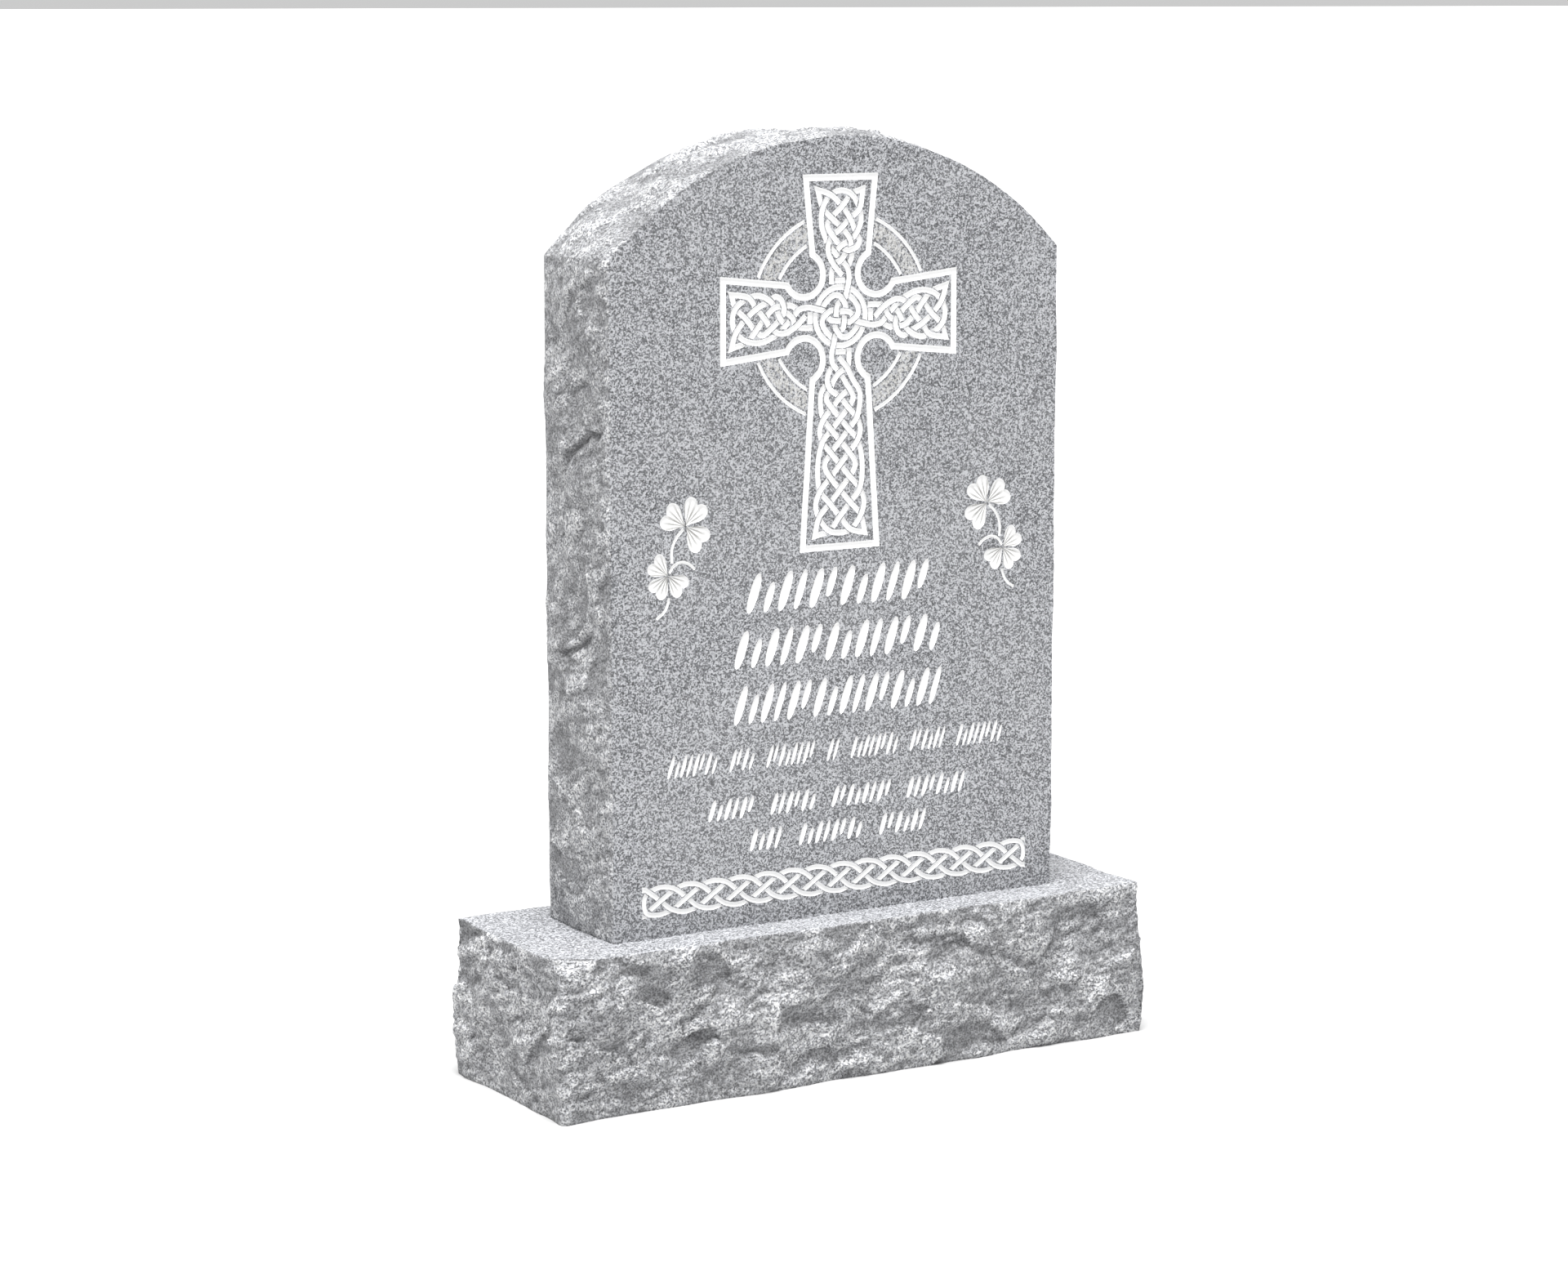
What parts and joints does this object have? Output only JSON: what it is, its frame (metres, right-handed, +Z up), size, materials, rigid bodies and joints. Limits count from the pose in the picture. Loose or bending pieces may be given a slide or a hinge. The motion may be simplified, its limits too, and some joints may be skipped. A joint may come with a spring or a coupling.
{
  "type": "upright headstone",
  "caption": "Upright arched granite headstone with a ringed knotwork cross, sprays and stroke rows carved in its face, on a rock-pitched base.",
  "frame": {"origin": "middle of the base's underside", "axes": "+Z up, +X to the right when facing the carved face, +Y from the carved face to the back"},
  "size_m": [0.8241, 0.2799, 1.116],
  "materials": {
    "tablet_granite": "sawn face with white carving, pitched rim",
    "base_granite": "sawn top, pitched sides"
  },
  "bodies": {
    "root": {"tablet": "tablet_granite", "base": "base_granite"}
  },
  "joints": []
}
